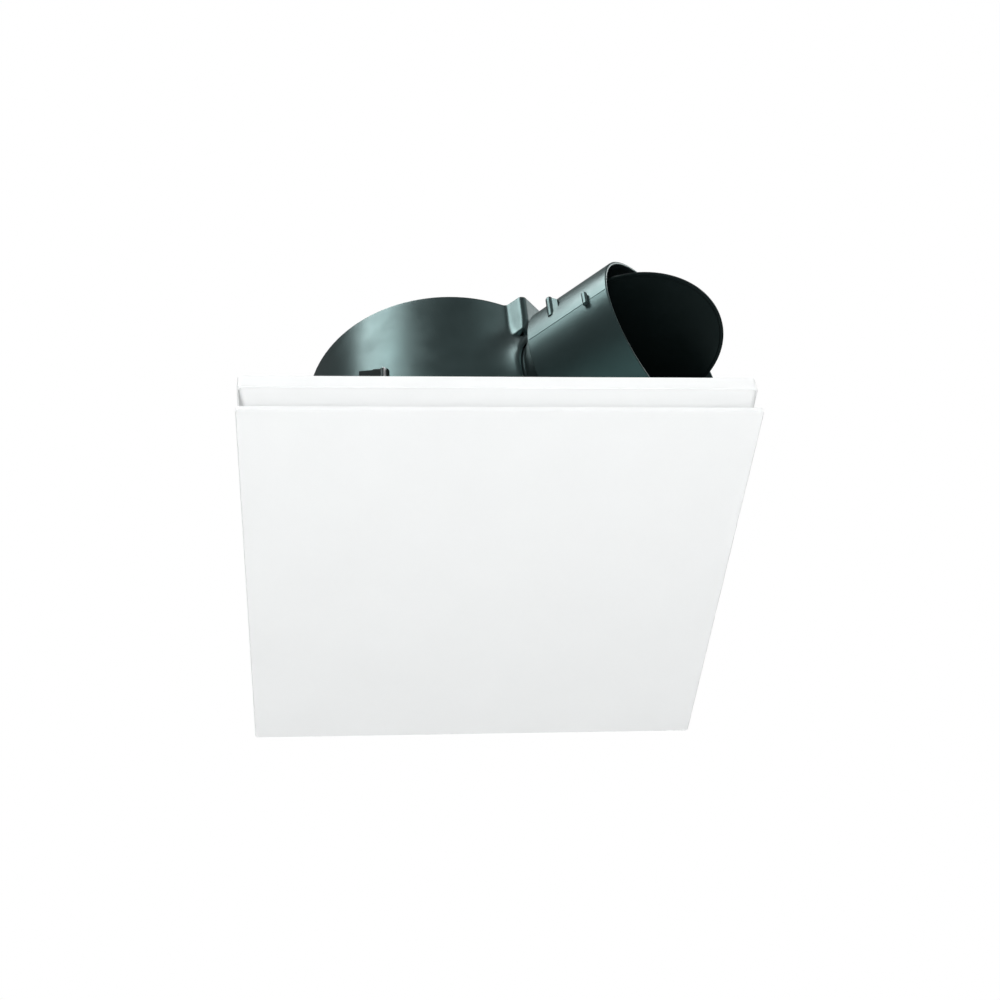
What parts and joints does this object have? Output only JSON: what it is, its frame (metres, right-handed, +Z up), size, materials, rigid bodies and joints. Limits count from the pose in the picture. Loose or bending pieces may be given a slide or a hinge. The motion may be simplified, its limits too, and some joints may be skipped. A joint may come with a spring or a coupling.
{
  "type": "bathroom extractor fan",
  "caption": "Ceiling extractor fan with a flat square fascia, a drum body with motor and impeller, a round side outlet with a backdraught flap, and swing-out clamps.",
  "frame": {"origin": "centre of the fascia's lower face, the face seen from the room", "axes": "+Z up into the ceiling; X and Y parallel to the fascia's sides; the outlet points towards +X -Y, 43 degrees from +X"},
  "size_m": [0.3583, 0.3594, 0.2073],
  "materials": {
    "white_enamel": "smooth semi-gloss white moulding, slightly cool",
    "dark_moulding": "dark grey-green moulded plastic with a soft sheen",
    "black_moulding": "near-black moulded plastic",
    "nylon": "natural nylon",
    "capacitor_case": "moulded capacitor case",
    "lead_sheath": "flexible white sheath",
    "rubber": "soft black rubber",
    "bright_steel": "ground steel",
    "zinc_steel": "bright zinc plate",
    "lamination_steel": "stacked steel laminations",
    "enamelled_copper": "enamelled copper wire",
    "cast_aluminium": "as-cast aluminium"
  },
  "bodies": {
    "housing": {"cable_gland": "black_moulding", "damper_spindle": "bright_steel", "drum_housing": "dark_moulding", "frame_screw_1": "zinc_steel", "frame_screw_2": "zinc_steel", "frame_screw_3": "zinc_steel", "gland_nut": "black_moulding", "grille_frame": "white_enamel", "inlet_ring": "dark_moulding", "lead_grommet": "rubber", "lid_screw_1": "zinc_steel", "lid_screw_2": "zinc_steel", "lower_bearing": "bright_steel", "lower_winding": "enamelled_copper", "motor_bolt_1": "zinc_steel", "motor_bolt_2": "zinc_steel", "motor_bolt_3": "zinc_steel", "motor_cover_lower": "cast_aluminium", "motor_cover_upper": "cast_aluminium", "motor_lead": "lead_sheath", "mount_screw_1": "zinc_steel", "mount_screw_2": "zinc_steel", "mount_screw_3": "zinc_steel", "outlet_spigot": "dark_moulding", "rubber_mount_1": "rubber", "rubber_mount_2": "rubber", "rubber_mount_3": "rubber", "run_capacitor": "capacitor_case", "stator_core": "lamination_steel", "terminal_base": "dark_moulding", "terminal_block": "nylon", "terminal_lid": "dark_moulding", "thermal_cutout": "black_moulding", "upper_bearing": "bright_steel", "upper_winding": "enamelled_copper"},
    "fascia": {"fascia_panel": "white_enamel", "fascia_stud_1": "nylon", "fascia_stud_2": "nylon", "fascia_stud_3": "nylon", "fascia_stud_4": "nylon"},
    "impeller_set": {"impeller": "black_moulding", "impeller_nut": "zinc_steel", "motor_shaft": "bright_steel", "rotor_core": "cast_aluminium"},
    "damper": {"damper_flap": "black_moulding"},
    "clamp_screw_1": {"clamp_screw_1": "zinc_steel"},
    "clamp_arm_1": {"clamp_arm_1": "black_moulding"},
    "clamp_screw_2": {"clamp_screw_2": "zinc_steel"},
    "clamp_arm_2": {"clamp_arm_2": "black_moulding"},
    "clamp_screw_3": {"clamp_screw_3": "zinc_steel"},
    "clamp_arm_3": {"clamp_arm_3": "black_moulding"}
  },
  "joints": [
    {"name": "fascia_pull", "type": "slide", "parent": "housing", "child": "fascia", "axis": [0, 0, -1], "range_m": [0, 0.03]},
    {"name": "impeller_spin", "type": "hinge", "parent": "housing", "child": "impeller_set", "pos_m": [-0.0217, 0, 0.1], "axis": [0, 0, 1], "continuous": true},
    {"name": "damper_swing", "type": "hinge", "parent": "housing", "child": "damper", "pos_m": [0.0956, -0.09543, 0.1455], "axis": [0.682, 0.7314, 0], "range_deg": [0, 87]},
    {"name": "clamp_1_swing", "type": "hinge", "parent": "housing", "child": "clamp_screw_1", "pos_m": [-0.07527, -0.10514, 0.08], "axis": [0, 0, 1], "range_deg": [0, 69]},
    {"name": "clamp_1_travel", "type": "slide", "parent": "clamp_screw_1", "child": "clamp_arm_1", "axis": [0, 0, -1], "range_m": [0, 0.07]},
    {"name": "clamp_2_swing", "type": "hinge", "parent": "housing", "child": "clamp_screw_2", "pos_m": [0.09279, 0.02855, 0.08], "axis": [0, 0, 1], "range_deg": [0, 69]},
    {"name": "clamp_2_travel", "type": "slide", "parent": "clamp_screw_2", "child": "clamp_arm_2", "axis": [0, 0, -1], "range_m": [0, 0.07]},
    {"name": "clamp_3_swing", "type": "hinge", "parent": "housing", "child": "clamp_screw_3", "pos_m": [-0.09435, 0.09299, 0.08], "axis": [0, 0, 1], "range_deg": [0, 69]},
    {"name": "clamp_3_travel", "type": "slide", "parent": "clamp_screw_3", "child": "clamp_arm_3", "axis": [0, 0, -1], "range_m": [0, 0.07]}
  ]
}
